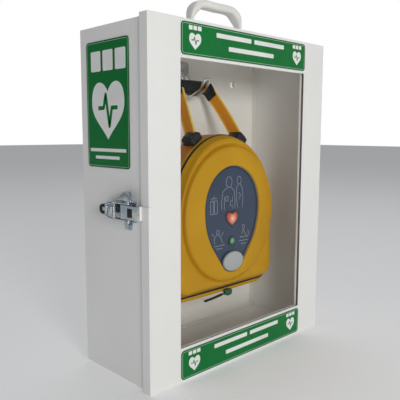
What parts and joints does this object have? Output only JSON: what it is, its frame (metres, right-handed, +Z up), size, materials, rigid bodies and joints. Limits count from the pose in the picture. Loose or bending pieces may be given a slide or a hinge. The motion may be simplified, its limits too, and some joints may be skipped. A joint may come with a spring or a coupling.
{
  "type": "defibrillator in a wall cabinet",
  "caption": "Steel wall cabinet with a windowed hinged door and a toggle latch, holding an automated defibrillator in a soft case hung on a hook by its strap.",
  "frame": {"origin": "centre of the cabinet's back face, which lies on the wall", "axes": "+X to the viewer's right, +Y back into the wall, +Z up"},
  "size_m": [0.3751, 0.1445, 0.5093],
  "materials": {
    "white_paint": "white powder coat on sheet steel, satin, fine orange peel",
    "white_plastic": "white moulded plastic, fine texture",
    "zinc_plate": "bright zinc-plated pressed steel, slightly blue",
    "chrome_wire": "chrome-plated wire and plate",
    "black_rubber": "black rubber, matt",
    "black_plastic": "black moulded plastic",
    "clear_pane": "clear polycarbonate sheet",
    "green_label": null,
    "yellow_case": "mustard-yellow moulded soft-shell case, fine cloth skin",
    "orange_webbing": "orange-yellow woven webbing",
    "grey_shell": "dark grey moulded housing",
    "slate_panel": "slate-blue membrane panel with pale line pictograms",
    "pale_cap": "pale grey moulded cap",
    "green_plastic": "green moulded plastic",
    "red_button": "orange-red translucent button",
    "circuit_board": "green solder-masked circuit board",
    "foil": "foil and tinned sleeves"
  },
  "bodies": {
    "cabinet": {"cabinet_wrapper": "white_paint", "back_panel": "white_paint", "hook_plate": "chrome_wire", "hook_wire": "chrome_wire", "hook_screw_upper": "chrome_wire", "hook_screw_lower": "chrome_wire", "hinge_upper_cabinet_leaf": "white_paint", "hinge_upper_pin": "zinc_plate", "hinge_upper_rivet": "white_paint", "hinge_lower_cabinet_leaf": "white_paint", "hinge_lower_pin": "zinc_plate", "hinge_lower_rivet": "white_paint", "latch_base": "zinc_plate", "latch_pivot_upper": "zinc_plate", "latch_pivot_lower": "zinc_plate", "latch_rivet_upper": "zinc_plate", "latch_rivet_lower": "zinc_plate", "carry_handle": "white_plastic", "handle_screw_left": "zinc_plate", "handle_screw_right": "zinc_plate", "side_label": "green_label"},
    "door": {"door_panel": "white_paint", "window_seal": "black_rubber", "window_pane": "clear_pane", "window_retainer": "white_plastic", "hinge_upper_door_leaf": "white_paint", "hinge_lower_door_leaf": "white_paint", "strike_plate": "white_paint", "top_label": "green_label", "bottom_label": "green_label"},
    "latch_lever": {"latch_lever": "zinc_plate", "latch_lever_tip": "black_rubber", "bail_pin": "zinc_plate"},
    "latch_bail": {"latch_bail": "zinc_plate", "bail_pad": "black_rubber"},
    "hanger": {"strap_grip": "black_rubber"},
    "defibrillator": {"case_front": "yellow_case", "case_rear": "yellow_case", "case_zip": "black_plastic", "case_pouch": "yellow_case", "strap_left": "orange_webbing", "strap_right": "orange_webbing", "strap_clip_left": "black_plastic", "strap_clip_right": "black_plastic", "device_front": "grey_shell", "device_rear": "grey_shell", "membrane_panel": "slate_panel", "speaker_cap": "pale_cap", "speaker": "black_plastic", "main_board": "circuit_board", "capacitor": "foil", "status_light": "green_plastic", "cartridge_housing": "grey_shell", "battery_cell_left": "foil", "battery_cell_right": "foil", "electrode_pads": "foil"},
    "zip_slider": {"zip_slider": "green_plastic", "zip_pull": "black_plastic"},
    "on_button": {"on_button": "green_plastic"},
    "shock_button": {"shock_button": "red_button"}
  },
  "joints": [
    {"name": "door_hinge", "type": "hinge", "parent": "cabinet", "child": "door", "pos_m": [0.182, -0.1275, 0], "axis": [0, 0, 1], "range_deg": [0, 170]},
    {"name": "latch_lever_pivot", "type": "hinge", "parent": "cabinet", "child": "latch_lever", "pos_m": [-0.1845, -0.11, -0.003], "axis": [0, 0, 1], "range_deg": [0, 110]},
    {"name": "bail_pivot", "type": "hinge", "parent": "latch_lever", "child": "latch_bail", "pos_m": [-0.1825, -0.1, -0.003], "axis": [0, 0, 1], "range_deg": [-110, 0]},
    {"name": "case_lift", "type": "slide", "parent": "cabinet", "child": "hanger", "axis": [0, 0, 1], "range_m": [0, 0.024]},
    {"name": "case_swing", "type": "hinge", "parent": "hanger", "child": "defibrillator", "pos_m": [0.0046, -0.025, 0.162], "axis": [-1, 0, 0], "range_deg": [0, 4.5]},
    {"name": "zip_slide", "type": "slide", "parent": "defibrillator", "child": "zip_slider", "axis": [1, 0, 0], "range_m": [-0.045, 0.05]},
    {"name": "on_button_press", "type": "slide", "parent": "defibrillator", "child": "on_button", "axis": [0, 1, 0], "range_m": [0, 0.0012], "stiffness_N_per_m": 600},
    {"name": "shock_button_press", "type": "slide", "parent": "defibrillator", "child": "shock_button", "axis": [0, 1, 0], "range_m": [0, 0.0012], "stiffness_N_per_m": 600}
  ],
  "couplings": [
    {"joint": "bail_pivot", "follows": "latch_lever_pivot", "ratio": -1}
  ]
}
